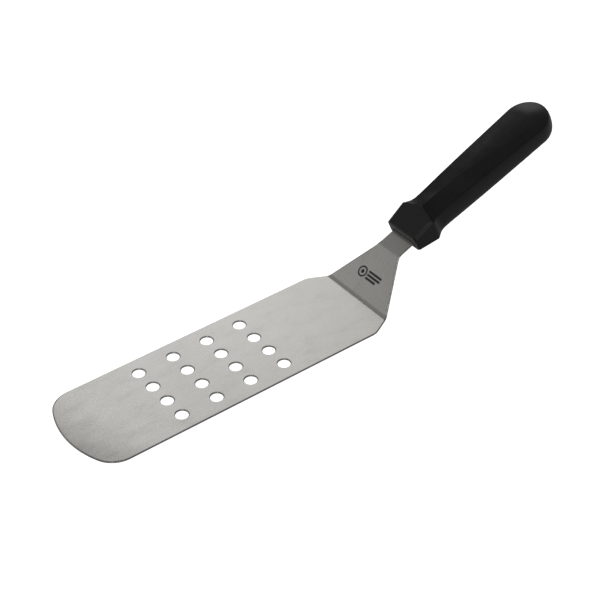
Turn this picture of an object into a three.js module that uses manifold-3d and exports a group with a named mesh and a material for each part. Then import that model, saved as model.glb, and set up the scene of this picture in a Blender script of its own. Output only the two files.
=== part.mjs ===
// A kitchen turner: a perforated steel blade with a bent shank, and a plastic handle moulded over its tang.
// Millimetres, +Z up. +X runs from the blade's tip to the handle's butt, and the blade lies flat on Z = 0.

import * as THREE from 'three';
import { mergeVertices } from 'three/addons/utils/BufferGeometryUtils.js';
import Module from 'manifold-3d';

const wasm = await Module();
wasm.setup();

// Sheet blank. Lengths along the blank are measured from its tip, before it is bent.
const SHEET = 1;
const BLADE_WIDTH = 76;
const TIP_RADIUS = 66;
const TIP_CORNER_RADIUS = 18;
const TAPER_START = 211.5;
const TAPER_SLOPE = 0.53;
const SHOULDER_RADIUS = 12;
const NECK_WIDTH = 21;
const NECK_FILLET_RADIUS = 15;

// Bends, with radii at the middle of the sheet.
const FLAT_LENGTH = 223;
const LOWER_BEND_RADIUS = 5.5;
const RISER_ANGLE = THREE.MathUtils.degToRad(44);
const RISER_LENGTH = 35.8;
const UPPER_BEND_RADIUS = 3.5;
const NECK_ANGLE = THREE.MathUtils.degToRad(22);
const NECK_LENGTH = 12.9;

// Drain holes, a square grid of four by four.
const HOLE_DIAMETER = 8.5;
const HOLE_COUNT = 4;
const HOLE_PITCH_LONG = 26.1;
const HOLE_PITCH_CROSS = 16.6;
const HOLE_GRID_CENTRE = 106.8;

// Tang, hidden in the handle and keyed to it through its holes.
const TANG_LENGTH = 88;
const TANG_CORNER_RADIUS = 5;
const KEY_HOLE_DIAMETER = 8;
const KEY_HOLE_PLACES = [22, 46, 70];
const CLEARANCE = 0.3;

// A line through points, each given as a place along the handle and a measure there.
const line = (...points) => points.map(([place, measure]) => new THREE.Vector2(place, measure));

// Handle, measured along its axis from the front face of the bolster. Its upper and lower halves are alike.
// The bolster is a wedge with a chamfer along each edge. Its top ends in an arrow, a step above the grip.
// The grip has a ridge along its middle, which widens into a soft crown towards the butt. A facet on each
// side falls to a creased shoulder, and the flanks bulge. The butt is half round, from BUTT_PLACE on.
const HANDLE_RISE = 0.85;
const BUTT_PLACE = 117.7;
const BOLSTER_LENGTH = 16.4;
const BOLSTER_TOP = line([0, 6.45], [22, 11.114]);
const BOLSTER_EDGE = line([0, 12.6], [BOLSTER_LENGTH, 13.95]);
const BOLSTER_SIDE = line([0, 15], [BOLSTER_LENGTH, 16]);
const CHAMFER_DROP = 2.1;
const SIDE_BULGE = 0.15;
const REAR_STEP = 0.4;
const ARROW_POINT = 21;
const ARROW_SWEEP = 0.32;
const ARROW_STEP = 0.8;
const SHOULDER_WIDTH = line(
  [16.4, 15.8], [17, 15.6], [18, 15], [19, 14.35], [20, 13.65], [21, 13.1], [22, 12.7], [24, 12.2],
  [28, 12.1], [36, 12.35], [50, 12.95], [70, 14], [90, 15.1], [110, 16], [BUTT_PLACE, 16.3],
);
const SHOULDER_HEIGHT = line(
  [16.4, 7.7], [28, 7.7], [50, 7.9], [70, 7.6], [90, 7], [110, 6.6], [BUTT_PLACE, 6.5],
);
const WIDEST = line(
  [16.4, 16.1], [17, 16], [18, 15.6], [19, 15.1], [20, 14.55], [21, 14.1], [22, 13.75], [24, 13.4],
  [28, 13.5], [50, 14.4], [70, 15.3], [90, 16.15], [110, 17], [BUTT_PLACE, 17.3],
);
const RIDGE_HEIGHT = line(
  [16.4, 10.65], [28, 10.6], [36, 10.2], [50, 10.05], [70, 9.7], [90, 9], [110, 8.4], [BUTT_PLACE, 8.2],
);
const CROWN_WIDTH = line([16.4, 0.3], [40, 0.35], [60, 2], [80, 5], [100, 9], [BUTT_PLACE, 11.5]);
const FLANK_STEEPNESS = 1.9;

// Fineness of the faceting.
const ARC_STEPS = 5;
const BEND_STEPS = 8;
const HOLE_SIDES = 32;
const CROWN_SHARES = [0, 0.25, 0.5, 0.75, 1];
const FLANK_SHARES = [0, 0.32, 0.48, 0.64, 0.8, 1];
const GRIP_PLACES = [22, 23, 24, 26, 28, 32, 36, 43, 50, 60, 70, 80, 90, 100, 110];
const ARROW_ROW_GAP = 0.4;
const BUTT_STEPS = 20;

const steel = new THREE.MeshStandardMaterial({ color: 0xb8b5b0, roughness: 0.38, metalness: 1 });
const blackPlastic = new THREE.MeshStandardMaterial({ color: 0x1b1c1e, roughness: 0.55, metalness: 0 });

// Value at x of a line through points that run along increasing x.
function heightAlong(points, x) {
  const next = points.findIndex((point) => point.x > x);
  if (next < 0) return points[points.length - 1].y;
  if (next === 0) return points[0].y;
  const [before, after] = [points[next - 1], points[next]];
  return THREE.MathUtils.mapLinear(x, before.x, after.x, before.y, after.y);
}

// Closed body, symmetric about Y = 0, from half-sections that list the +Y flank's points, top to bottom.
function mirroredBody(halfSections) {
  const positions = [];
  for (const section of halfSections) {
    for (const point of section) {
      positions.push(point.x, point.y, point.z);
      positions.push(point.x, -point.y, point.z);
    }
  }
  const steps = halfSections[0].length - 1;
  const last = halfSections.length - 1;
  const plus = (i, j) => 2 * (i * (steps + 1) + j);
  const minus = (i, j) => plus(i, j) + 1;
  const index = [];
  const quad = (a, b, c, d) => index.push(a, b, c, a, c, d);
  for (let i = 0; i < last; i++) {
    for (let j = 0; j < steps; j++) {
      quad(plus(i, j), plus(i + 1, j), plus(i + 1, j + 1), plus(i, j + 1));
      quad(minus(i, j + 1), minus(i + 1, j + 1), minus(i + 1, j), minus(i, j));
    }
    quad(minus(i, 0), minus(i + 1, 0), plus(i + 1, 0), plus(i, 0));
    quad(plus(i, steps), plus(i + 1, steps), minus(i + 1, steps), minus(i, steps));
  }
  for (let j = 0; j < steps; j++) {
    quad(minus(0, j), plus(0, j), plus(0, j + 1), minus(0, j + 1));
    quad(plus(last, j), minus(last, j), minus(last, j + 1), plus(last, j + 1));
  }
  const geometry = new THREE.BufferGeometry();
  geometry.setAttribute('position', new THREE.Float32BufferAttribute(positions, 3));
  geometry.setIndex(index);
  return geometry;
}

// Solid for cutting and joining. Triangles that shrink to nothing where points meet are dropped.
function toSolid(geometry) {
  const bare = geometry.clone();
  bare.deleteAttribute('normal');
  bare.deleteAttribute('uv');
  const merged = mergeVertices(bare, 1e-5);
  const vertProperties = Float32Array.from(merged.attributes.position.array);
  const corners = merged.index.array;
  const triVerts = [];
  for (let i = 0; i < corners.length; i += 3) {
    const triangle = corners.slice(i, i + 3);
    if (new Set(triangle).size === 3) triVerts.push(...triangle);
  }
  return new wasm.Manifold(new wasm.Mesh({
    numProp: 3,
    vertProperties,
    triVerts: Uint32Array.from(triVerts),
  }));
}

function toGeometry(solid) {
  const mesh = solid.getMesh();
  const geometry = new THREE.BufferGeometry();
  geometry.setAttribute('position', new THREE.BufferAttribute(mesh.vertProperties, 3));
  geometry.setIndex(new THREE.BufferAttribute(mesh.triVerts, 1));
  geometry.computeVertexNormals();
  return geometry;
}

// The runs of the bent sheet in order, each with its length and the angle through which it turns.
function sheetRuns() {
  const drop = RISER_ANGLE - NECK_ANGLE;
  return [
    { length: FLAT_LENGTH, turn: 0 },
    { length: LOWER_BEND_RADIUS * RISER_ANGLE, turn: RISER_ANGLE },
    { length: RISER_LENGTH, turn: 0 },
    { length: UPPER_BEND_RADIUS * drop, turn: -drop },
    { length: NECK_LENGTH + TANG_LENGTH, turn: 0 },
  ];
}

const BLANK_LENGTH = sheetRuns().reduce((sum, run) => sum + run.length, 0);
const TANG_START = BLANK_LENGTH - TANG_LENGTH;

// Where the middle of the sheet lies in the bent blade, at a length along the blank, and its slope there.
function bentSheet(length) {
  const place = { x: 0, z: SHEET / 2, angle: 0 };
  let left = length;
  for (const run of sheetRuns()) {
    const step = THREE.MathUtils.clamp(left, 0, run.length);
    const turn = run.turn * step / run.length;
    const chord = turn === 0 ? step : 2 * step / turn * Math.sin(turn / 2);
    place.x += chord * Math.cos(place.angle + turn / 2);
    place.z += chord * Math.sin(place.angle + turn / 2);
    place.angle += turn;
    left -= step;
  }
  return place;
}

// Half of the flat blank's outline, from the tip to the end of the tang.
function blankOutline() {
  const side = BLADE_WIDTH / 2;
  const neck = NECK_WIDTH / 2;
  const tipAngle = Math.asin((side - TIP_CORNER_RADIUS) / (TIP_RADIUS - TIP_CORNER_RADIUS));
  const cornerX = TIP_RADIUS - (TIP_RADIUS - TIP_CORNER_RADIUS) * Math.cos(tipAngle);
  const taper = Math.atan(TAPER_SLOPE);
  const shoulderX = TAPER_START - SHOULDER_RADIUS * Math.tan(taper / 2);
  const filletX = TAPER_START + (side - neck) / TAPER_SLOPE + NECK_FILLET_RADIUS * Math.tan(taper / 2);
  const endX = BLANK_LENGTH - TANG_CORNER_RADIUS;
  const quarter = Math.PI / 2;
  const outline = new THREE.Path();
  outline.absarc(TIP_RADIUS, 0, TIP_RADIUS, Math.PI, Math.PI - tipAngle, true);
  outline.absarc(cornerX, side - TIP_CORNER_RADIUS, TIP_CORNER_RADIUS, Math.PI - tipAngle, quarter, true);
  outline.absarc(shoulderX, side - SHOULDER_RADIUS, SHOULDER_RADIUS, quarter, quarter - taper, true);
  outline.absarc(filletX, neck + NECK_FILLET_RADIUS, NECK_FILLET_RADIUS, -quarter - taper, -quarter, false);
  outline.absarc(endX, neck - TANG_CORNER_RADIUS, TANG_CORNER_RADIUS, quarter, 0, true);
  return outline.getPoints(ARC_STEPS);
}

// Lengths along the blank that need a section: every point of the outline, and steps through both bends.
function sheetStations(outline) {
  const stations = outline.map((point) => point.x);
  let start = 0;
  for (const run of sheetRuns()) {
    if (run.turn !== 0) {
      for (let i = 0; i <= BEND_STEPS; i++) stations.push(start + run.length * i / BEND_STEPS);
    }
    start += run.length;
  }
  stations.sort((a, b) => a - b);
  return stations.filter((station, i) => i === 0 || station - stations[i - 1] > 0.01);
}

function bentBlank() {
  const outline = blankOutline();
  const halfSections = sheetStations(outline).map((station) => {
    const { x, z, angle } = bentSheet(station);
    const halfWidth = heightAlong(outline, station);
    return [SHEET / 2, -SHEET / 2].map((offset) => new THREE.Vector3(
      x - offset * Math.sin(angle),
      halfWidth,
      z + offset * Math.cos(angle),
    ));
  });
  return toSolid(mirroredBody(halfSections));
}

// Upright round bar, centred on the origin.
function roundBar(diameter, length) {
  const bar = new THREE.CylinderGeometry(diameter / 2, diameter / 2, length, HOLE_SIDES);
  return bar.rotateX(Math.PI / 2);
}

function drainHoles() {
  const holes = [];
  const centre = (HOLE_COUNT - 1) / 2;
  for (let i = 0; i < HOLE_COUNT; i++) {
    for (let j = 0; j < HOLE_COUNT; j++) {
      const hole = roundBar(HOLE_DIAMETER, 4 * SHEET);
      hole.translate(HOLE_GRID_CENTRE + (i - centre) * HOLE_PITCH_LONG, (j - centre) * HOLE_PITCH_CROSS, 0);
      holes.push(toSolid(hole));
    }
  }
  return holes;
}

function keyHoles() {
  return KEY_HOLE_PLACES.map((place) => {
    const { x, z, angle } = bentSheet(TANG_START + place);
    const hole = roundBar(KEY_HOLE_DIAMETER, 4 * SHEET);
    hole.rotateY(-angle);
    hole.translate(x, 0, z);
    return toSolid(hole);
  });
}

function makeBlade() {
  let solid = bentBlank();
  for (const hole of [...drainHoles(), ...keyHoles()]) solid = solid.subtract(hole);
  const blade = new THREE.Mesh(toGeometry(solid), steel);
  blade.name = 'blade';
  return blade;
}

// Half-width of the arrow's flat top.
function arrowWidth(place) {
  return (ARROW_POINT - place) / ARROW_SWEEP;
}

// Height of the grip's top at a distance y from its middle: the facets, and the arrow that stands on them.
function gripTop(place, y) {
  const shoulder = heightAlong(SHOULDER_WIDTH, place);
  const height = heightAlong(SHOULDER_HEIGHT, place);
  const crown = heightAlong(CROWN_WIDTH, place);
  const slope = (heightAlong(RIDGE_HEIGHT, place) - height) / (shoulder - crown / 2);
  const rounding = y < crown ? slope * (crown ** 2 - y ** 2) / (2 * crown) : 0;
  const level = height + slope * (shoulder - Math.max(y, crown)) + rounding;
  const step = THREE.MathUtils.smoothstep(y, arrowWidth(place), arrowWidth(place) + ARROW_STEP);
  return THREE.MathUtils.lerp(heightAlong(BOLSTER_TOP, place), level, step);
}

// Quarter of the grip's section, from the middle of the top to the widest line of the flank.
function gripSection(place) {
  const shoulder = heightAlong(SHOULDER_WIDTH, place);
  const height = heightAlong(SHOULDER_HEIGHT, place);
  const widest = heightAlong(WIDEST, place);
  const crown = Math.max(arrowWidth(place), heightAlong(CROWN_WIDTH, place));
  const inner = Math.min(crown, shoulder - 1.5 * ARROW_STEP);
  const marks = [...CROWN_SHARES.map((share) => share * inner), inner + ARROW_STEP];
  const flank = new THREE.QuadraticBezierCurve(
    new THREE.Vector2(shoulder, height),
    new THREE.Vector2(widest, height - FLANK_STEEPNESS * (widest - shoulder)),
    new THREE.Vector2(widest, 0),
  );
  return [
    ...marks.map((y) => new THREE.Vector2(y, gripTop(place, y))),
    ...FLANK_SHARES.map((share) => flank.getPoint(share)),
  ];
}

// The same points on the bolster.
function bolsterSection(place) {
  const top = heightAlong(BOLSTER_TOP, place);
  const edge = heightAlong(BOLSTER_EDGE, place);
  const side = heightAlong(BOLSTER_SIDE, place);
  const inner = edge - 2 * ARROW_STEP;
  const marks = [...CROWN_SHARES.map((share) => share * inner), inner + ARROW_STEP, edge];
  const wall = new THREE.LineCurve(
    new THREE.Vector2(side, top - CHAMFER_DROP),
    new THREE.Vector2(side + SIDE_BULGE, 0),
  );
  return [
    ...marks.map((y) => new THREE.Vector2(y, top)),
    ...wall.getPoints(FLANK_SHARES.length - 2),
  ];
}

// Half-section in space, from its upper quarter: the lower quarter mirrors it. It stands at a place along the
// axis and is turned about the upright line through that place.
function standSection(upper, place, turn = 0) {
  const lower = upper.slice(0, -1).reverse().map((point) => new THREE.Vector2(point.x, -point.y));
  return [...upper, ...lower].map((point) => new THREE.Vector3(
    place + point.x * Math.sin(turn),
    point.x * Math.cos(turn),
    point.y,
  ));
}

function handleBody() {
  const halfSections = [0, BOLSTER_LENGTH].map((place) => standSection(bolsterSection(place), place));
  for (let place = BOLSTER_LENGTH + REAR_STEP; place < GRIP_PLACES[0] - 0.1; place += ARROW_ROW_GAP) {
    halfSections.push(standSection(gripSection(place), place));
  }
  for (const place of GRIP_PLACES) halfSections.push(standSection(gripSection(place), place));
  const butt = gripSection(BUTT_PLACE);
  for (let i = 0; i <= BUTT_STEPS; i++) {
    halfSections.push(standSection(butt, BUTT_PLACE, Math.PI / 2 * i / BUTT_STEPS));
  }
  return toSolid(mirroredBody(halfSections));
}

// Room for the tang, open at the front face, less the keys that stand through the tang's holes.
function tangPocket() {
  const side = NECK_WIDTH / 2 + CLEARANCE;
  const end = TANG_LENGTH + CLEARANCE;
  const radius = TANG_CORNER_RADIUS + CLEARANCE;
  const outline = new THREE.Shape();
  outline.moveTo(-1, side);
  outline.lineTo(-1, -side);
  outline.absarc(end - radius, radius - side, radius, -Math.PI / 2, 0, false);
  outline.absarc(end - radius, side - radius, radius, 0, Math.PI / 2, false);
  const depth = SHEET + 2 * CLEARANCE;
  const slab = new THREE.ExtrudeGeometry(outline, { depth, bevelEnabled: false, curveSegments: ARC_STEPS });
  let pocket = toSolid(slab.translate(0, 0, -depth / 2));
  for (const place of KEY_HOLE_PLACES) {
    const key = roundBar(KEY_HOLE_DIAMETER - 2 * CLEARANCE, 2 * depth);
    pocket = pocket.subtract(toSolid(key.translate(place, 0, 0)));
  }
  return pocket.translate([0, 0, -HANDLE_RISE]);
}

function makeHandle() {
  const handle = new THREE.Mesh(toGeometry(handleBody().subtract(tangPocket())), blackPlastic);
  const { x, z, angle } = bentSheet(TANG_START);
  handle.name = 'handle';
  handle.position.set(x - HANDLE_RISE * Math.sin(angle), 0, z + HANDLE_RISE * Math.cos(angle));
  handle.rotation.y = -angle;
  return handle;
}

const turner = new THREE.Group();
turner.add(makeBlade(), makeHandle());

// The origin is under the middle of the whole turner.
const extent = new THREE.Box3().setFromObject(turner, true);
turner.position.x = -(extent.min.x + extent.max.x) / 2;

export default turner;
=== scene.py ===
import math

import bpy
import numpy as np
from mathutils import Matrix, Quaternion, Vector


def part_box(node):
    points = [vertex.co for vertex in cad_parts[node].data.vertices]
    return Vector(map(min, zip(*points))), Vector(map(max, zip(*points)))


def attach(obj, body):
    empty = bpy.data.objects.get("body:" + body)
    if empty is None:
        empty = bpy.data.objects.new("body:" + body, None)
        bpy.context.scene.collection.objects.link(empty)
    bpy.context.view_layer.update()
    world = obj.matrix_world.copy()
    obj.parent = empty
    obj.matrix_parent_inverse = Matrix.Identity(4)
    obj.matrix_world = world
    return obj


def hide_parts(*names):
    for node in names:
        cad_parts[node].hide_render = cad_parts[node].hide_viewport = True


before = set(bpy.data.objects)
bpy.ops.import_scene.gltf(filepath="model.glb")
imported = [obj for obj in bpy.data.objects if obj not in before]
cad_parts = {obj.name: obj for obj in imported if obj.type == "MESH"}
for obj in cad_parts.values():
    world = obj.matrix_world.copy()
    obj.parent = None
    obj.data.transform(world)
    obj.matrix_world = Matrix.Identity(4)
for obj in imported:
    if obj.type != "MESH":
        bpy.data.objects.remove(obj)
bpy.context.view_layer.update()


# The sheet blank, in millimetres. Lengths along the blank are measured from its tip, before it is bent.
SHEET = 1.0
EDGE_ROLL = (0.8, 0.5)  # how far the rolled-over upper edge reaches in, and down
EDGE_BREAK = (0.25, 0.25)  # the same for the lower edge
ROLL_ANGLES = (15, 30, 45, 60, 75, 90)  # degrees at which the edges get their points
BREAK_ANGLES = (90, 60, 30)
TANG_BREAK = 0.05
TANG_HIDDEN = 5.0  # past this depth in the handle, the edges are as good as sharp
BLADE_WIDTH = 76.0
TIP_RADIUS = 66.0
TIP_CORNER_RADIUS = 18.0
TAPER_START = 211.5
TAPER_SLOPE = 0.53
SHOULDER_RADIUS = 12.0
NECK_WIDTH = 21.0
NECK_FILLET_RADIUS = 15.0
TANG_LENGTH = 88.0
TANG_CORNER_RADIUS = 5.0

# Bends, with radii at the middle of the sheet.
FLAT_LENGTH = 223.0
LOWER_BEND_RADIUS = 5.5
RISER_ANGLE = math.radians(44)
RISER_LENGTH = 35.8
UPPER_BEND_RADIUS = 3.5
NECK_ANGLE = math.radians(22)
NECK_LENGTH = 12.9

# Drain holes.
HOLE_RADIUS = 4.25
HOLE_COUNT = 4
HOLE_PITCH_LONG = 26.1
HOLE_PITCH_CROSS = 16.6
HOLE_GRID_CENTRE = 106.8

# Fineness of the blade's mesh.
CELL_STEPS = 8  # points along each side of the cell round a hole
CELL_RINGS = (0.0, 0.3, 0.6, 1.0)  # from the hole's edge to the cell's border
STRIP_SHARE = 0.55  # where the strip beside the holes gets its middle line
CORNER_SPLIT = 0.55  # the part of the tip's corner that belongs to the blade's side
TIP_STEPS = 40
CORNER_END_STEPS = 20
CORNER_SIDE_STEPS = 24
TIP_ROWS = 26
OUTLINE_STEPS = 8
BEND_STEPS = 14
BEND_MARGIN = 0.4
ROW_GAP = 3.0
SMALLEST_GAP = 0.05
EDGE_MARGIN = 1.2  # inner points keep this far from the edge

# Handle, measured along its axis from the bolster's front face, upwards from its middle plane.
HANDLE_LENGTH = 134.95  # a hair short of the CAD's, so that the butt stays inside its box
HANDLE_RISE = 0.85
SLOT_GAP = 0.3
MOUTH_WIDENING = 0.25  # how far the slot's mouth opens, at its sides and along the handle
MOUTH_HEIGHT = 1.25  # height of the slot's mouth over the slot's own
BOLSTER_TOP = (6.45, 0.212)  # height at the front face, and rise per millimetre
BOLSTER_EDGE = (12.6, 13.95)  # half-width of the top face, front and rear
BOLSTER_SIDE = (15.0, 16.0)  # half-width below the chamfer, front and rear
SIDE_BULGE = 0.15
CHAMFER_DROP = 2.1
CHAMFER_ROUNDINGS = (0.3, 0.4)  # along its upper and its lower edge
BOLSTER_LENGTH = 16.4
REAR_ROUNDING = 0.4
FRONT_ROUNDING = 0.9
FRONT_ANGLES = (15, 30, 45, 60, 75)
FRONT_RINGS = (0.3, 0.65, 0.93, 1.0)  # from the slot's mouth to the front face's edge
ARROW_POINT = 21.0
ARROW_SWEEP = 0.32
ARROW_STEP = 0.8  # how far the step behind the arrow reaches across the handle
ARROW_MARGIN = 0.4  # the step stays this far from the shoulder
TOP_MARGIN = 1.0  # beside the bolster's top edge, a strip with points close together

# The grip, as pairs of place along the handle and measure.
SHOULDER_WIDTH = (
    (16.4, 15.8), (17, 15.6), (18, 15.0), (19, 14.35), (20, 13.65), (21, 13.1), (22, 12.7), (24, 12.2),
    (28, 12.1), (36, 12.35), (50, 12.95), (70, 14.0), (90, 15.1), (110, 16.0), (117.7, 16.3),
)
SHOULDER_HEIGHT = (
    (16.4, 7.7), (28, 7.7), (50, 7.9), (70, 7.6), (90, 7.0), (110, 6.6), (117.7, 6.5),
)
WIDEST = (
    (16.4, 16.1), (17, 16.0), (18, 15.6), (19, 15.1), (20, 14.55), (21, 14.1), (22, 13.75), (24, 13.4),
    (28, 13.5), (50, 14.4), (70, 15.3), (90, 16.15), (110, 17.0), (117.7, 17.3),
)
RIDGE_HEIGHT = (
    (16.4, 10.65), (28, 10.6), (36, 10.2), (50, 10.05), (70, 9.7), (90, 9.0), (110, 8.4), (117.7, 8.2),
)
CROWN_WIDTH = ((16.4, 0.3), (40, 0.35), (60, 2.0), (80, 5.0), (100, 9.0), (117.7, 11.5))
FLANK_STEEPNESS = 1.9
SHOULDER_ROUNDING = 0.22
BUTT_PLACE = HANDLE_LENGTH - WIDEST[-1][1]

# Fineness of the handle's mesh: points across each stretch of a section, and rows along the handle.
CROWN_STEPS = 8
STEP_STEPS = 6
FACET_STEPS = 10
TOP_STEPS = CROWN_STEPS + STEP_STEPS + FACET_STEPS
CORNER_STEPS = 4
CHAMFER_STEPS = 5
WALL_STEPS = 7
FLANK_SPLIT = 0.32  # share of the flank's curve that matches the chamfer
CREASE_SPREAD = 0.4
BOLSTER_ROWS = (FRONT_ROUNDING, 2, 4, 6, 8, 10, 12, 14, 15, 16, BOLSTER_LENGTH)
REAR_ROWS = 6
ARROW_ROWS = (17, 25, 40)  # from, to and number
NECK_ROWS = (25, 40, 15)
GRIP_ROWS = 30
BUTT_ROWS = 36

MM = 0.001
TIP_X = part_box("blade")[0].x / MM


# ----------------------------------------------------------------------------------------------------
# Mesh helpers
# ----------------------------------------------------------------------------------------------------

class MeshDraft:
    """Points in millimetres and faces, with points that coincide kept once."""

    def __init__(self):
        self.points = []
        self.faces = []
        self.known = {}

    def point(self, place):
        key = tuple(round(value, 4) for value in place)
        if key not in self.known:
            self.known[key] = len(self.points)
            self.points.append(tuple(place))
        return self.known[key]

    def face(self, corners):
        ring = []
        for corner in corners:
            if corner not in ring:
                ring.append(corner)
        if len(ring) >= 3:
            self.faces.append(ring)

    def grid(self, rows):
        """Quads between rows of places, all of the same length."""
        index = [[self.point(place) for place in row] for row in rows]
        for before, after in zip(index, index[1:]):
            for i in range(len(before) - 1):
                self.face((before[i], before[i + 1], after[i + 1], after[i]))
        return index

    def boundary_loops(self):
        """Closed loops of edges that only one face uses, in that face's direction."""
        edges = set()
        for face in self.faces:
            for start, end in zip(face, face[1:] + face[:1]):
                edges.add((start, end))
        after = {start: end for start, end in edges if (end, start) not in edges}
        loops = []
        while after:
            start = min(after)
            loop = [start]
            end = after.pop(start)
            while end != start:
                loop.append(end)
                end = after.pop(end)
            loops.append(loop)
        return loops


def add_piece(name, points, faces, material):
    """Object made of points in millimetres, shaded with normals weighted by the area of the faces."""
    mesh = bpy.data.meshes.new(name)
    mesh.from_pydata([Vector(point) * MM for point in points], [], faces)
    mesh.materials.append(material)
    mesh.polygons.foreach_set("use_smooth", [True] * len(mesh.polygons))
    normals = np.zeros((len(points), 3))
    for polygon in mesh.polygons:
        weighted = np.array(polygon.normal) * polygon.area
        for corner in polygon.vertices:
            normals[corner] += weighted
    normals /= np.maximum(np.linalg.norm(normals, axis=1, keepdims=True), 1e-12)
    mesh.normals_split_custom_set_from_vertices([tuple(normal) for normal in normals])
    mesh.update()
    piece = bpy.data.objects.new(name, mesh)
    bpy.context.scene.collection.objects.link(piece)
    return piece


def arc(centre, radius, start, end, steps):
    """Points of an arc in the plane, angles in radians."""
    angles = [start + (end - start) * i / steps for i in range(steps + 1)]
    return [(centre[0] + radius * math.cos(a), centre[1] + radius * math.sin(a)) for a in angles]


def along(path, share):
    """Point at a share of a path's length."""
    path = np.asarray(path, float)
    lengths = np.concatenate([[0], np.cumsum(np.linalg.norm(np.diff(path, axis=0), axis=1))])
    return np.array([np.interp(share * lengths[-1], lengths, path[:, k]) for k in (0, 1)])


def mix(start, end, share):
    return start + (end - start) * share


def smooth(value):
    value = min(max(value, 0.0), 1.0)
    return value * value * (3 - 2 * value)


# ----------------------------------------------------------------------------------------------------
# Blade
# ----------------------------------------------------------------------------------------------------

def sheet_runs():
    """The runs of the bent sheet, each with its length and the angle through which it turns."""
    drop = RISER_ANGLE - NECK_ANGLE
    return [
        (FLAT_LENGTH, 0.0),
        (LOWER_BEND_RADIUS * RISER_ANGLE, RISER_ANGLE),
        (RISER_LENGTH, 0.0),
        (UPPER_BEND_RADIUS * drop, -drop),
        (NECK_LENGTH + TANG_LENGTH, 0.0),
    ]


BLANK_LENGTH = sum(length for length, turn in sheet_runs())
TANG_START = BLANK_LENGTH - TANG_LENGTH


def bent_sheet(length):
    """Where the middle of the sheet lies in the bent blade, in the row frame, and its slope there."""
    x, z, angle = TIP_X, SHEET / 2, 0.0
    left = length
    for run_length, run_turn in sheet_runs():
        step = min(max(left, 0.0), run_length)
        turn = run_turn * step / run_length
        chord = 2 * step / turn * math.sin(turn / 2) if turn else step
        x += chord * math.cos(angle + turn / 2)
        z += chord * math.sin(angle + turn / 2)
        angle += turn
        left -= step
    return x, z, angle


def rear_outline():
    """Half-width of the blank against the length along it, up to the end of the tang."""
    side, neck = BLADE_WIDTH / 2, NECK_WIDTH / 2
    taper = math.atan(TAPER_SLOPE)
    quarter = math.pi / 2
    shoulder = (TAPER_START - SHOULDER_RADIUS * math.tan(taper / 2), side - SHOULDER_RADIUS)
    fillet = (
        TAPER_START + (side - neck) / TAPER_SLOPE + NECK_FILLET_RADIUS * math.tan(taper / 2),
        neck + NECK_FILLET_RADIUS,
    )
    end = (BLANK_LENGTH - TANG_CORNER_RADIUS, neck - TANG_CORNER_RADIUS)
    outline = [(0.0, side)]
    outline += arc(shoulder, SHOULDER_RADIUS, quarter, quarter - taper, OUTLINE_STEPS)
    outline += arc(fillet, NECK_FILLET_RADIUS, -quarter - taper, -quarter, OUTLINE_STEPS)
    outline += arc(end, TANG_CORNER_RADIUS, quarter, 0, OUTLINE_STEPS)
    return outline


def rear_stations(outline, start):
    """Lengths along the blank that get a row of points, close together where the sheet bends."""
    marks = [length for length, width in outline if length > start]
    place = 0.0
    for length, turn in sheet_runs():
        if turn:
            marks += [place + length * i / BEND_STEPS for i in range(BEND_STEPS + 1)]
            marks += [place - BEND_MARGIN, place + length + BEND_MARGIN]
        place += length
    marks = sorted(set([start] + [round(mark, 4) for mark in marks]))
    stations = [marks[0]]
    for mark in marks[1:]:
        if mark - stations[-1] < SMALLEST_GAP:
            continue
        steps = max(1, round((mark - stations[-1]) / ROW_GAP))
        begin = stations[-1]
        stations += [mix(begin, mark, i / steps) for i in range(1, steps + 1)]
    return stations


def add_hole_cells(draft):
    """An oblong cell of the blank round each hole, in rings from the hole's edge to the cell's border."""
    half_u = HOLE_PITCH_LONG / 2
    half_v = HOLE_PITCH_CROSS / 2
    corners = [(half_u, half_v), (-half_u, half_v), (-half_u, -half_v), (half_u, -half_v)]
    border = []
    for begin, end in zip(corners, corners[1:] + corners[:1]):
        for step in range(CELL_STEPS):
            share = step / CELL_STEPS
            border.append((mix(begin[0], end[0], share), mix(begin[1], end[1], share)))
    border.append(border[0])
    circle = arc((0, 0), HOLE_RADIUS, math.pi / 4, math.pi * 9 / 4, 4 * CELL_STEPS)
    middle = (HOLE_COUNT - 1) / 2
    for i in range(HOLE_COUNT):
        for j in range(HOLE_COUNT):
            u = HOLE_GRID_CENTRE + (i - middle) * HOLE_PITCH_LONG
            v = (j - middle) * HOLE_PITCH_CROSS
            rings = []
            for share in CELL_RINGS:
                rings.append([
                    (u + mix(c[0], b[0], share), v + mix(c[1], b[1], share)) for c, b in zip(circle, border)
                ])
            draft.grid([ring[::-1] for ring in rings])


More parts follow.
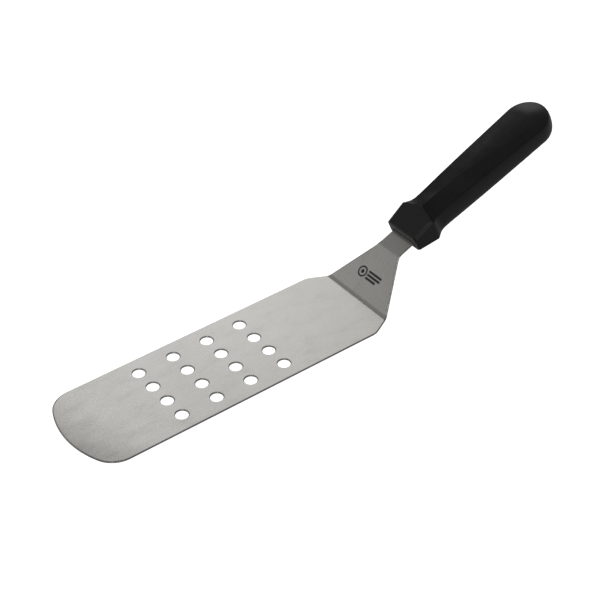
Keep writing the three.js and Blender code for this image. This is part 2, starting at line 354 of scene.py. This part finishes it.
def tip_grid(first, cross_marks):
    """Rows from the holes' border to the tip, spanned between the two straight sides and the curved end."""
    side = BLADE_WIDTH / 2
    tip_angle = math.asin((side - TIP_CORNER_RADIUS) / (TIP_RADIUS - TIP_CORNER_RADIUS))
    corner_x = TIP_RADIUS - (TIP_RADIUS - TIP_CORNER_RADIUS) * math.cos(tip_angle)
    corner = (corner_x, side - TIP_CORNER_RADIUS)
    corner_start, corner_end = math.pi - tip_angle, math.pi / 2
    corner_split = mix(corner_start, corner_end, CORNER_SPLIT)
    end_path = arc((TIP_RADIUS, 0), TIP_RADIUS, math.pi, math.pi - tip_angle, TIP_STEPS)
    end_path += arc(corner, TIP_CORNER_RADIUS, corner_start, corner_split, CORNER_END_STEPS)[1:]
    end_path = [(u, -v) for u, v in end_path[:0:-1]] + end_path
    side_path = [(first, side)]
    side_path += arc(corner, TIP_CORNER_RADIUS, corner_end, corner_split, CORNER_SIDE_STEPS)
    p_low, p_high = np.array((first, -side)), np.array((first, side))
    q_low, q_high = along(end_path, 0), along(end_path, 1)
    rows = []
    for i in range(TIP_ROWS + 1):
        b = i / TIP_ROWS
        upper = along(side_path, b)
        lower = upper * (1, -1)
        row = []
        for v in cross_marks:
            a = (v + side) / (2 * side)
            straight = np.array((first, v))
            curved = along(end_path, a)
            place = mix(straight, curved, b) + mix(lower, upper, a)
            place -= mix(mix(p_low, p_high, a), mix(q_low, q_high, a), b)
            row.append(tuple(float(value) for value in place))
        rows.append(row)
    return rows


def rear_grid(last, cross_marks):
    """Rows from the holes' border to the end of the tang, as wide as the outline."""
    side = BLADE_WIDTH / 2
    outline = rear_outline()
    lengths = [point[0] for point in outline]
    widths = [point[1] for point in outline]
    rows = []
    for station in rear_stations(outline, last):
        half_width = float(np.interp(station, lengths, widths))
        row = []
        for v in cross_marks:
            width = abs(v) / side * half_width
            if abs(v) < side:
                width = min(width, half_width - EDGE_MARGIN)
            row.append((station, math.copysign(width, v)))
        rows.append(row)
    return rows


def blank_faces():
    """The flat blank as a draft in two dimensions: places along it and across it."""
    draft = MeshDraft()
    add_hole_cells(draft)

    side = BLADE_WIDTH / 2
    first = HOLE_GRID_CENTRE - HOLE_COUNT * HOLE_PITCH_LONG / 2
    last = HOLE_GRID_CENTRE + HOLE_COUNT * HOLE_PITCH_LONG / 2
    edge = HOLE_COUNT * HOLE_PITCH_CROSS / 2
    strip = [edge, mix(edge, side, STRIP_SHARE), side]
    marks = HOLE_COUNT * CELL_STEPS
    long_marks = [mix(first, last, i / marks) for i in range(marks + 1)]
    for sign in (1, -1):
        rows = [[(u, sign * v) for u in long_marks] for v in strip]
        draft.grid(rows if sign > 0 else rows[::-1])

    cross_marks = [-v for v in strip[:0:-1]]
    cross_marks += [mix(-edge, edge, i / marks) for i in range(marks + 1)]
    cross_marks += strip[1:]
    draft.grid(tip_grid(first, cross_marks))
    draft.grid([row[::-1] for row in rear_grid(last, cross_marks)])
    return draft


def build_blade(material):
    """The bent sheet: both faces of the blank, joined at every edge by a wall with rounded corners."""
    flat = blank_faces()
    for face in flat.faces:  # every face runs counter-clockwise, seen from above
        area = 0.0
        for a, b in zip(face, face[1:] + face[:1]):
            (x0, y0), (x1, y1) = flat.points[a], flat.points[b]
            area += x0 * y1 - x1 * y0
        if area < 0:
            face.reverse()
    loops = flat.boundary_loops()
    outward = {}
    for loop in loops:
        for before, here, after in zip(loop[-1:] + loop[:-1], loop, loop[1:] + loop[:1]):
            (u0, v0), (u1, v1) = flat.points[before], flat.points[after]
            size = math.hypot(u1 - u0, v1 - v0)
            outward[here] = ((v1 - v0) / size, -(u1 - u0) / size)

    def place(index, inset, offset):
        u, v = flat.points[index]
        if u > TANG_START + TANG_HIDDEN:
            inset = min(inset, TANG_BREAK)
        if index in outward:
            u -= outward[index][0] * inset
            v -= outward[index][1] * inset
        x, z, angle = bent_sheet(u)
        return (x - offset * math.sin(angle), v, z + offset * math.cos(angle))

    count = len(flat.points)
    half = SHEET / 2
    points = [place(i, EDGE_ROLL[0], half) for i in range(count)]
    points += [place(i, EDGE_BREAK[0], -half) for i in range(count)]
    faces = [list(face) for face in flat.faces]
    faces += [[corner + count for corner in reversed(face)] for face in flat.faces]
    profile = []
    for turn in map(math.radians, ROLL_ANGLES):
        profile.append((EDGE_ROLL[0] * (1 - math.sin(turn)), half - EDGE_ROLL[1] * (1 - math.cos(turn))))
    for turn in map(math.radians, BREAK_ANGLES):
        profile.append((EDGE_BREAK[0] * (1 - math.sin(turn)), EDGE_BREAK[1] * (1 - math.cos(turn)) - half))
    for loop in loops:
        rings = [list(loop)]
        for inset, offset in profile:
            rings.append(list(range(len(points), len(points) + len(loop))))
            points += [place(i, inset, offset) for i in loop]
        rings.append([i + count for i in loop])
        for upper, lower in zip(rings, rings[1:]):
            for i in range(len(loop)):
                j = (i + 1) % len(loop)
                faces.append([upper[j], upper[i], lower[i], lower[j]])
    return add_piece("turner_blade", points, faces, material)


# ----------------------------------------------------------------------------------------------------
# Handle
# ----------------------------------------------------------------------------------------------------

def rounded_corner(before, corner, after, reach):
    """Points that round a corner off, between the directions of its neighbours."""
    before, corner, after = (np.array(p, float) for p in (before, corner, after))
    back = before - corner
    ahead = after - corner
    start = corner + back * min(0.45, reach / max(np.linalg.norm(back), 1e-9))
    end = corner + ahead * min(0.45, reach / max(np.linalg.norm(ahead), 1e-9))
    points = []
    for i in range(CORNER_STEPS + 1):
        t = i / CORNER_STEPS
        points.append(start * (1 - t) ** 2 + corner * 2 * t * (1 - t) + end * t * t)
    return points


def curve(table, place):
    """Value of a smooth curve through a table's points."""
    places = [row[0] for row in table]
    values = [row[1] for row in table]
    place = min(max(place, places[0]), places[-1])
    i = min(max(int(np.searchsorted(places, place)) - 1, 0), len(places) - 2)
    slopes = [(values[k + 1] - values[k]) / (places[k + 1] - places[k]) for k in range(len(places) - 1)]

    def tangent(k):
        if k in (0, len(slopes)):
            return slopes[min(k, len(slopes) - 1)]
        return (slopes[k - 1] + slopes[k]) / 2

    span = places[i + 1] - places[i]
    t = (place - places[i]) / span
    start, end = values[i], values[i + 1]
    rise = (2 * t ** 3 - 3 * t ** 2 + 1) * start + (3 * t ** 2 - 2 * t ** 3) * end
    return rise + ((t ** 3 - 2 * t ** 2 + t) * tangent(i) + (t ** 3 - t ** 2) * tangent(i + 1)) * span


def arrow_width(place):
    """Half-width of the arrow's flat top, which is negative behind its point."""
    return (ARROW_POINT - place) / ARROW_SWEEP


def grip_top(place, y):
    """Height of the grip's top: two facets that meet in a ridge, with the bolster's arrow on them."""
    shoulder = curve(SHOULDER_WIDTH, place)
    height = curve(SHOULDER_HEIGHT, place)
    crown = curve(CROWN_WIDTH, place)
    slope = (curve(RIDGE_HEIGHT, place) - height) / (shoulder - crown / 2)
    level = height + slope * (shoulder - max(y, crown))
    if y < crown:
        level += slope * (crown ** 2 - y ** 2) / (2 * crown)
    step = smooth((y - arrow_width(place)) / ARROW_STEP)
    return mix(BOLSTER_TOP[0] + BOLSTER_TOP[1] * place, level, step)


def top_marks(inner, outer):
    """Distances from the middle of the top: a crown out to inner, the arrow's step, a facet to outer."""
    marks = [inner * i / CROWN_STEPS for i in range(CROWN_STEPS)]
    marks += [inner + ARROW_STEP * i / STEP_STEPS for i in range(STEP_STEPS)]
    marks += [mix(inner + ARROW_STEP, outer, i / FACET_STEPS) for i in range(FACET_STEPS)]
    return marks


def grip_section(place):
    """Quarter section of the grip, whose flank bulges below a creased shoulder."""
    shoulder = curve(SHOULDER_WIDTH, place)
    height = curve(SHOULDER_HEIGHT, place)
    widest = curve(WIDEST, place)
    inner = max(arrow_width(place), curve(CROWN_WIDTH, place))
    inner = min(inner, shoulder - ARROW_STEP - ARROW_MARGIN)
    top = [np.array((y, grip_top(place, y))) for y in top_marks(inner, shoulder)]

    start = np.array((shoulder, height))
    pull = np.array((widest, height - FLANK_STEEPNESS * (widest - shoulder)))
    end = np.array((widest, 0.0))
    shares = [FLANK_SPLIT * i / CHAMFER_STEPS for i in range(CHAMFER_STEPS + 1)]
    shares += [mix(FLANK_SPLIT, 1.0, i / WALL_STEPS) for i in range(1, WALL_STEPS + 1)]
    flank = [start * (1 - t) ** 2 + pull * 2 * t * (1 - t) + end * t * t for t in shares]
    corner = rounded_corner(top[-1], flank[0], flank[1], SHOULDER_ROUNDING)
    spread = (flank[CHAMFER_STEPS + 1] - flank[CHAMFER_STEPS - 1]) / 2 * CREASE_SPREAD
    crease = [flank[CHAMFER_STEPS] + spread * (i / CORNER_STEPS - 0.5) for i in range(CORNER_STEPS + 1)]
    return top + corner + flank[1:CHAMFER_STEPS] + crease + flank[CHAMFER_STEPS + 1:]


def bolster_section(place):
    """The same points on the bolster: a level top, a chamfer and an almost upright side."""
    share = min(max(place / BOLSTER_LENGTH, 0.0), 1.0)
    height = BOLSTER_TOP[0] + BOLSTER_TOP[1] * place
    wide = mix(*BOLSTER_SIDE, share)
    middle = np.array((0.0, height))
    edge = np.array((mix(*BOLSTER_EDGE, share), height))
    chamfer_end = np.array((wide, height - CHAMFER_DROP))
    widest = np.array((wide + SIDE_BULGE, 0.0))
    chamfer = [mix(edge, chamfer_end, i / CHAMFER_STEPS) for i in range(CHAMFER_STEPS + 1)]
    side = [mix(chamfer_end, widest, i / WALL_STEPS) for i in range(WALL_STEPS + 1)]
    corner = rounded_corner(middle, edge, chamfer[2], CHAMFER_ROUNDINGS[0])
    crease = rounded_corner(chamfer[-2], chamfer_end, side[1], CHAMFER_ROUNDINGS[1])
    inner = edge[0] - TOP_MARGIN - ARROW_STEP
    top = [np.array((y, height)) for y in top_marks(inner, corner[0][0])]
    return top + corner + chamfer[1:-1] + crease + side[1:]


def upper_section(place):
    """Quarter section from the middle of the top to the widest line of the flank, as (half-width, height)."""
    bolster = bolster_section(place)
    if place <= BOLSTER_LENGTH:
        return bolster
    share = smooth((place - BOLSTER_LENGTH) / REAR_ROUNDING)
    return [mix(a, b, share) for a, b in zip(bolster, grip_section(place))]


def half_loop(upper):
    """Half of the section, from the middle of the top over the +Y flank to the middle of the underside."""
    return upper + [np.array((p[0], -p[1])) for p in upper[-2::-1]]


def full_loop(upper):
    """The whole section, round from the middle of the top, the underside and the -Y flank included."""
    half = half_loop(upper)
    return half + [np.array((-p[0], p[1])) for p in half[-2:0:-1]]


def scaled_loop(upper, inset):
    """The whole section, drawn in by an inset at its sides and at its top."""
    loop = full_loop(upper)
    wide = max(p[0] for p in loop)
    high = max(p[1] for p in loop)
    return [np.array((p[0] * (1 - inset / wide), p[1] * (1 - inset / high))) for p in loop]


def evenly(start, end, steps):
    """Places after start, in even steps up to end."""
    return [mix(start, end, i / steps) for i in range(1, steps + 1)]


def handle_stations():
    """Places along the handle that get a row of points, close together round the arrow's step."""
    stations = list(BOLSTER_ROWS)
    stations += evenly(BOLSTER_LENGTH, BOLSTER_LENGTH + REAR_ROUNDING, REAR_ROWS)
    stations += [ARROW_ROWS[0]] + evenly(*ARROW_ROWS)
    stations += evenly(*NECK_ROWS)
    stations += evenly(NECK_ROWS[1], BUTT_PLACE, GRIP_ROWS)
    return stations


def slot_loops():
    """The section of the slot for the tang, and that of its slightly wider mouth."""
    half_width = NECK_WIDTH / 2 + SLOT_GAP
    half_height = SHEET / 2 + SLOT_GAP
    side_steps = CORNER_STEPS * 2 + CHAMFER_STEPS + WALL_STEPS
    quarter = [np.array((half_width * i / TOP_STEPS, half_height)) for i in range(TOP_STEPS + 1)]
    quarter += [np.array((half_width, half_height * (1 - i / side_steps))) for i in range(1, side_steps + 1)]
    loop = full_loop(quarter)
    widening = 1 + MOUTH_WIDENING / half_width
    slot = [np.array((p[0], p[1] - HANDLE_RISE)) for p in loop]
    mouth = [np.array((p[0] * widening, p[1] * MOUTH_HEIGHT - HANDLE_RISE)) for p in loop]
    return slot, mouth


def build_handle(material):
    """The handle's outside, its front face and the slot for the tang, as one closed surface."""
    draft = MeshDraft()

    # The slot, from its blind end out to the front face.
    slot, mouth = slot_loops()
    rows = [
        [(TANG_LENGTH + SLOT_GAP, *p) for p in slot],
        [(MOUTH_WIDENING, *p) for p in slot],
        [(0.0, *p) for p in mouth],
    ]

    # The front face, then its rounded edge.
    flat = scaled_loop(upper_section(0), FRONT_ROUNDING)
    for share in FRONT_RINGS:
        rows.append([(0.0, *mix(a, b, share)) for a, b in zip(mouth, flat)])
    for turn in map(math.radians, FRONT_ANGLES):
        place = FRONT_ROUNDING * (1 - math.cos(turn))
        inset = FRONT_ROUNDING * (1 - math.sin(turn))
        rows.append([(place, *p) for p in scaled_loop(upper_section(place), inset)])

    # The length of the handle.
    for place in handle_stations():
        rows.append([(place, *p) for p in full_loop(upper_section(place))])
    index = draft.grid([row + row[:1] for row in rows])
    draft.face(index[0][-2::-1])

    # The butt: the last section turned about the upright line through its middle.
    half = half_loop(upper_section(BUTT_PLACE))
    rows = []
    for i in range(BUTT_ROWS + 1):
        turn = math.pi * i / BUTT_ROWS
        rows.append([(BUTT_PLACE + p[0] * math.sin(turn), p[0] * math.cos(turn), p[1]) for p in half])
    draft.grid(rows)

    x, z, angle = bent_sheet(TANG_START)
    origin = Vector((x - HANDLE_RISE * math.sin(angle), 0, z + HANDLE_RISE * math.cos(angle)))
    place_in_row = Matrix.Translation(origin) @ Matrix.Rotation(-angle, 4, "Y")
    points = [tuple(place_in_row @ Vector(point)) for point in draft.points]
    return add_piece("turner_handle", points, draft.faces, material)


# ----------------------------------------------------------------------------------------------------
# Materials
# ----------------------------------------------------------------------------------------------------

class Shader:
    """A node material under construction."""

    def __init__(self, name):
        self.material = bpy.data.materials.new(name)
        self.material.use_nodes = True
        self.tree = self.material.node_tree
        self.tree.nodes.clear()
        self.surface = self.node("ShaderNodeBsdfPrincipled")
        output = self.node("ShaderNodeOutputMaterial")
        self.link(self.surface.outputs["BSDF"], output.inputs["Surface"])
        self.coordinates = self.node("ShaderNodeTexCoord").outputs["Object"]

    def node(self, kind, **settings):
        node = self.tree.nodes.new(kind)
        for key, value in settings.items():
            setattr(node, key, value)
        return node

    def link(self, source, target):
        self.tree.links.new(source, target)

    def noise(self, scale, detail=2.0, roughness=0.5, shift=(0, 0, 0)):
        """Noise whose scale along each axis is in cycles per metre."""
        mapping = self.node("ShaderNodeMapping")
        mapping.inputs["Scale"].default_value = scale
        mapping.inputs["Location"].default_value = shift
        self.link(self.coordinates, mapping.inputs["Vector"])
        noise = self.node("ShaderNodeTexNoise")
        noise.inputs["Scale"].default_value = 1.0
        noise.inputs["Detail"].default_value = detail
        noise.inputs["Roughness"].default_value = roughness
        self.link(mapping.outputs["Vector"], noise.inputs["Vector"])
        return noise.outputs["Fac"]

    def remap(self, value, low, high, to_low, to_high):
        """The value, taken from one range to another and held within it."""
        node = self.node("ShaderNodeMapRange")
        node.inputs["From Min"].default_value = low
        node.inputs["From Max"].default_value = high
        node.inputs["To Min"].default_value = to_low
        node.inputs["To Max"].default_value = to_high
        self.link(value, node.inputs["Value"])
        return node.outputs["Result"]

    def math(self, operation, first, second=0.0):
        """Result of an operation on two numbers or sockets."""
        node = self.node("ShaderNodeMath", operation=operation)
        for value, socket in ((first, node.inputs[0]), (second, node.inputs[1])):
            if isinstance(value, (int, float)):
                socket.default_value = value
            else:
                self.link(value, socket)
        return node.outputs["Value"]

    def blend(self, factor, first, second, mode="MIX"):
        """Mix of two colours, each given as a colour or a socket."""
        node = self.node("ShaderNodeMix", data_type="RGBA", blend_type=mode)
        if isinstance(factor, (int, float)):
            node.inputs["Factor"].default_value = factor
        else:
            self.link(factor, node.inputs["Factor"])
        for value, socket in ((first, node.inputs[6]), (second, node.inputs[7])):
            if isinstance(value, tuple):
                socket.default_value = (*value, 1.0)
            else:
                self.link(value, socket)
        return node.outputs[2]

    def bump(self, height, distance, strength):
        """Normal of a surface roughened by a height, up to a distance in metres."""
        node = self.node("ShaderNodeBump")
        node.inputs["Distance"].default_value = distance
        node.inputs["Strength"].default_value = strength
        self.link(height, node.inputs["Height"])
        return node.outputs["Normal"]


MARK_PLACE = 14.5  # millimetres up the riser
MARK_RING = (8.2, 3.4)  # place across the riser, and radius
MARK_DOT_RADIUS = 1.44
MARK_BARS = ((2.5, -3.0, 6.4), (0.0, -3.0, 6.4), (-2.5, -1.6, 5.0))  # place up and across, and half-length
MARK_STROKE = 0.6  # half of the ring's stroke
MARK_BAR_STROKE = 0.78  # half of each bar's stroke
MARK_EDGE = 0.12
MARK_DEPTH = (0.1, 0.3)  # heights over the middle of the sheet between which the mark begins
MARK_COLOUR = (0.06, 0.058, 0.056)


def etched_mark(shader, place):
    """Share of a plain etched mark on the riser's upper side: a ring round a dot, with bars beside it."""
    x, z, angle = bent_sheet(FLAT_LENGTH + LOWER_BEND_RADIUS * RISER_ANGLE)
    from_x = shader.math("SUBTRACT", place.outputs["X"], x * MM)
    from_z = shader.math("SUBTRACT", place.outputs["Z"], z * MM)
    cos, sin = math.cos(angle), math.sin(angle)
    up = shader.math("ADD", shader.math("MULTIPLY", from_x, cos), shader.math("MULTIPLY", from_z, sin))
    out = shader.math("SUBTRACT", shader.math("MULTIPLY", from_z, cos), shader.math("MULTIPLY", from_x, sin))
    up = shader.math("SUBTRACT", up, MARK_PLACE * MM)
    across = place.outputs["Y"]

    def within(distance, limit):
        return shader.remap(distance, (limit - MARK_EDGE) * MM, (limit + MARK_EDGE) * MM, 1.0, 0.0)

    def gap(value, centre):
        return shader.math("ABSOLUTE", shader.math("SUBTRACT", value, centre * MM))

    ring_across = shader.math("POWER", gap(across, MARK_RING[0]), 2.0)
    ring_up = shader.math("POWER", gap(up, 0.0), 2.0)
    radius = shader.math("SQRT", shader.math("ADD", ring_across, ring_up))
    ring = within(gap(radius, MARK_RING[1]), MARK_STROKE)
    share = shader.math("MAXIMUM", ring, within(radius, MARK_DOT_RADIUS))
    for bar_up, bar_across, half_length in MARK_BARS:
        stroke = within(gap(up, bar_up), MARK_BAR_STROKE)
        length = within(gap(across, bar_across), half_length)
        share = shader.math("MAXIMUM", share, shader.math("MULTIPLY", stroke, length))
    upper_side = shader.remap(out, MARK_DEPTH[0] * MM, MARK_DEPTH[1] * MM, 0.0, 1.0)
    return shader.math("MULTIPLY", share, upper_side)


# Noises, as cycles per metre along each axis, and the steel's and the plastic's colours.
FINE_GRAIN = (60, 6000, 60)
COARSE_GRAIN = (12, 1100, 12)
SPECKLE = (1100, 1500, 1100)
STAIN = (42, 90, 42)
STEEL_DARK = (0.40, 0.39, 0.36)
STEEL_LIGHT = (0.80, 0.79, 0.765)
MOULD_GRAIN = (2600, 2600, 2600)
HANDLING = (90, 90, 90)
PLASTIC_DARK = (0.0060, 0.0060, 0.0058)
PLASTIC_LIGHT = (0.0090, 0.0090, 0.0087)
GRAIN_DEPTH = 0.00003  # metres
NOISE_RANGE = (0.3, 0.7)  # between which nearly all of a noise's values lie

# What the noises add to the steel's tone and roughness, at the low and the high end of their range.
GRAIN_TONE = (0.46, 0.54)
SPECKLE_TONE = (-0.05, 0.05)
STAIN_RANGE = (0.26, 0.44)
STAIN_TONE = (-0.11, 0.0)
STAIN_ROUGHNESS = (0.29, 0.25)
GRAIN_ROUGHNESS = (-0.03, 0.03)
PLASTIC_ROUGHNESS = (0.20, 0.25)
PLASTIC_MOTTLE = (0.35, 0.65)

# Painted light towards the tip and painted shade towards the bend: stretches of the blade, as places along
# it, with how much lighter the steel is painted at each end.
PAINTED_LIGHT_ALONG_BLADE = ((0, 90, 0.27, 0.0), (160, 215, 0.0, -0.14))
# Painted light along the blade's +Y side and painted shade along its -Y side.
PAINTED_LIGHT_ACROSS_BLADE = 0.07  # how much lighter it is along its +Y side, and darker along its -Y side
# Painted shade at the tip, widest at its -Y corner.
PAINTED_TIP_SHADE_SLANT = 0.35
PAINTED_TIP_SHADE_REACH = (10.0, 44.0)  # millimetres from the tip: fully dark, and clear
PAINTED_TIP_SHADE_WANDER = 4.0  # how far the stains shift its border
PAINTED_TIP_SHADE_FALL = 1.3
PAINTED_TIP_SHADE_COLOUR = (0.66, 0.65, 0.64)


def painted_tip_shade(shader, place, stain):
    """Share of the painted shade at the tip, which is widest at its -Y corner."""
    slanted = shader.math("MULTIPLY", place.outputs["Y"], PAINTED_TIP_SHADE_SLANT)
    wander = shader.remap(stain, *NOISE_RANGE, -PAINTED_TIP_SHADE_WANDER * MM, PAINTED_TIP_SHADE_WANDER * MM)
    distance = shader.math("ADD", shader.math("ADD", place.outputs["X"], slanted), wander)
    start = TIP_X - PAINTED_TIP_SHADE_SLANT * BLADE_WIDTH / 2
    dark, clear = ((start + reach) * MM for reach in PAINTED_TIP_SHADE_REACH)
    return shader.math("POWER", shader.remap(distance, dark, clear, 1.0, 0.0), PAINTED_TIP_SHADE_FALL)


def brushed_steel():
    """Steel sheet with fine grain along its length, faint stains, painted light and shade along and across
    the blade, and painted shade at the tip.
    """
    shader = Shader("brushed_steel")
    place = shader.node("ShaderNodeSeparateXYZ")
    shader.link(shader.coordinates, place.inputs["Vector"])
    fine = shader.noise(FINE_GRAIN, detail=2, roughness=0.6)
    coarse = shader.noise(COARSE_GRAIN, detail=3, roughness=0.65, shift=(3, 1, 2))
    speckle = shader.noise(SPECKLE, detail=2, roughness=0.7)
    stain = shader.noise(STAIN, detail=4, roughness=0.6, shift=(0.7, 0.2, 0))
    grain = shader.math("ADD", shader.math("MULTIPLY", fine, 0.5), shader.math("MULTIPLY", coarse, 0.5))

    # Tone: even along the grain, speckled, with faint darker stains, and with painted light and shade along
    # and across the blade.
    tone = shader.remap(grain, *NOISE_RANGE, *GRAIN_TONE)
    tone = shader.math("ADD", tone, shader.remap(speckle, *NOISE_RANGE, *SPECKLE_TONE))
    tone = shader.math("ADD", tone, shader.remap(stain, *STAIN_RANGE, *STAIN_TONE))
    # Painted light towards the tip, painted shade towards the bend.
    for start, end, start_tone, end_tone in PAINTED_LIGHT_ALONG_BLADE:
        ends = ((TIP_X + start) * MM, (TIP_X + end) * MM)
        painted_light_along_blade = shader.remap(place.outputs["X"], *ends, start_tone, end_tone)
        tone = shader.math("ADD", tone, painted_light_along_blade)
    # Painted light along the +Y side, painted shade along the -Y side.
    side = BLADE_WIDTH / 2 * MM
    cross = shader.remap(place.outputs["Y"], -side, side, -PAINTED_LIGHT_ACROSS_BLADE, PAINTED_LIGHT_ACROSS_BLADE)
    tone = shader.math("ADD", tone, cross)
    colour = shader.blend(tone, STEEL_DARK, STEEL_LIGHT)

    # The steel darkened by the painted shade at the tip.
    shaded = shader.blend(1.0, colour, PAINTED_TIP_SHADE_COLOUR, "MULTIPLY")
    colour = shader.blend(painted_tip_shade(shader, place, stain), colour, shaded)
    colour = shader.blend(etched_mark(shader, place), colour, MARK_COLOUR)
    shader.link(colour, shader.surface.inputs["Base Color"])
    shader.surface.inputs["Metallic"].default_value = 1.0
    stained = shader.remap(stain, *NOISE_RANGE, *STAIN_ROUGHNESS)
    rough = shader.math("ADD", stained, shader.remap(grain, *NOISE_RANGE, *GRAIN_ROUGHNESS))
    shader.link(rough, shader.surface.inputs["Roughness"])
    shader.link(shader.bump(grain, GRAIN_DEPTH, 0.7), shader.surface.inputs["Normal"])
    return shader.material


def black_plastic():
    """Black moulding with the fine, even texture of its mould and faint handling marks."""
    shader = Shader("black_plastic")
    grain = shader.noise(MOULD_GRAIN, detail=2, roughness=0.55)
    mottle = shader.noise(HANDLING, detail=3, roughness=0.6)
    colour = shader.blend(shader.remap(mottle, *PLASTIC_MOTTLE, 0, 1), PLASTIC_DARK, PLASTIC_LIGHT)
    shader.link(colour, shader.surface.inputs["Base Color"])
    rough = shader.remap(mottle, *NOISE_RANGE, *PLASTIC_ROUGHNESS)
    shader.link(rough, shader.surface.inputs["Roughness"])
    shader.surface.inputs["Specular IOR Level"].default_value = 0.5
    shader.link(shader.bump(grain, GRAIN_DEPTH, 0.5), shader.surface.inputs["Normal"])
    return shader.material


# ----------------------------------------------------------------------------------------------------
# Stage
# ----------------------------------------------------------------------------------------------------

FLOOR_SIZE = 6.0  # metres
FLOOR_STEPS = 12
FLOOR_CLOUDS = (3, 3, 3)
FLOOR_DARK = (0.88, 0.88, 0.88)
FLOOR_LIGHT = (0.92, 0.92, 0.92)
WORLD_STRENGTH = 0.15
LIGHT_DISTANCE = 2.2
KEY_DISTANCE = 6.0
KEY_ROLL = math.radians(18)
FRONT_COLOUR = (0.88, 0.94, 1.0)


def build_floor():
    """Pale floor, which glows white to camera rays only and so casts no extra light on the object."""
    shader = Shader("pale_floor")
    tone = shader.noise(FLOOR_CLOUDS, detail=2)
    colour = shader.blend(shader.remap(tone, *NOISE_RANGE, 0, 1), FLOOR_DARK, FLOOR_LIGHT)
    shader.link(colour, shader.surface.inputs["Base Color"])
    shader.surface.inputs["Roughness"].default_value = 0.9
    shader.surface.inputs["Specular IOR Level"].default_value = 0.0
    shader.surface.inputs["Emission Color"].default_value = (1, 1, 1, 1)
    seen = shader.node("ShaderNodeLightPath").outputs["Is Camera Ray"]
    shader.link(seen, shader.surface.inputs["Emission Strength"])
    half = FLOOR_SIZE / 2
    marks = [mix(-half, half, i / FLOOR_STEPS) for i in range(FLOOR_STEPS + 1)]
    draft = MeshDraft()
    draft.grid([[(x / MM, y / MM, 0.0) for x in marks] for y in marks])
    floor = add_piece("floor", draft.points, draft.faces, shader.material)


def soft_box(name, direction, size, power, distance=LIGHT_DISTANCE, colour=(1, 1, 1), roll=0.0):
    """Square area light that faces the object from a direction, turned about that direction by its roll."""
    light = bpy.data.lights.new(name, "AREA")
    light.shape = "SQUARE"
    light.size = size
    light.energy = power
    light.color = colour
    lamp = bpy.data.objects.new(name, light)
    lamp.visible_camera = False
    towards = Vector(direction).normalized()
    lamp.location = towards * distance
    facing = towards.to_track_quat("Z", "Y")
    lamp.rotation_euler = (facing @ Quaternion((0, 0, 1), roll)).to_euler()
    bpy.context.scene.collection.objects.link(lamp)


def build_lights():
    """An even world and five soft boxes, with the key far off, so that it lights both ends alike."""
    world = bpy.data.worlds.new("studio")
    world.use_nodes = True
    background = world.node_tree.nodes["Background"]
    background.inputs["Color"].default_value = (1, 1, 1, 1)
    background.inputs["Strength"].default_value = WORLD_STRENGTH
    bpy.context.scene.world = world
    soft_box("key", (0.543, 0.68, 0.52), 3.8, 39.0, distance=KEY_DISTANCE, roll=KEY_ROLL)
    soft_box("fill", (-0.70, 0.62, 0.36), 1.2, 1.8)
    soft_box("back", (-0.22, 0.57, 0.82), 1.35, 0.9)
    soft_box("front", (-0.25, -0.78, 0.57), 0.9, 1.2, colour=FRONT_COLOUR)
    soft_box("top", (-0.38, -0.25, 0.89), 0.45, 2.6)


CAMERA_PLACE = (-0.48574, -0.64981, 0.64692)
CAMERA_FORWARD = (0.46036, 0.63956, -0.61565)
CAMERA_ROLL = math.radians(1.807)
CAMERA_LENS = 93.624
SENSOR_WIDTH = 36
CLIP_RANGE = (0.05, 50)


def build_camera():
    """The camera looks forward from its place, rolled a little clockwise."""
    data = bpy.data.cameras.new("camera")
    data.lens = CAMERA_LENS
    data.sensor_width = SENSOR_WIDTH
    data.clip_start, data.clip_end = CLIP_RANGE
    camera = bpy.data.objects.new("camera", data)
    forward = Vector(CAMERA_FORWARD).normalized()
    right = forward.cross(Vector((0, 0, 1))).normalized()
    up = right.cross(forward)
    tilted_right = right * math.cos(CAMERA_ROLL) - up * math.sin(CAMERA_ROLL)
    tilted_up = tilted_right.cross(forward)
    turn = Matrix((tilted_right, tilted_up, -forward)).transposed()
    camera.matrix_world = Matrix.Translation(CAMERA_PLACE) @ turn.to_4x4()
    bpy.context.scene.collection.objects.link(camera)
    bpy.context.scene.camera = camera


blade = build_blade(brushed_steel())
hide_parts("blade")
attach(blade, "root")

handle = build_handle(black_plastic())
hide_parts("handle")
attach(handle, "root")

build_floor()
build_lights()
build_camera()
bpy.context.scene.view_settings.view_transform = "Standard"
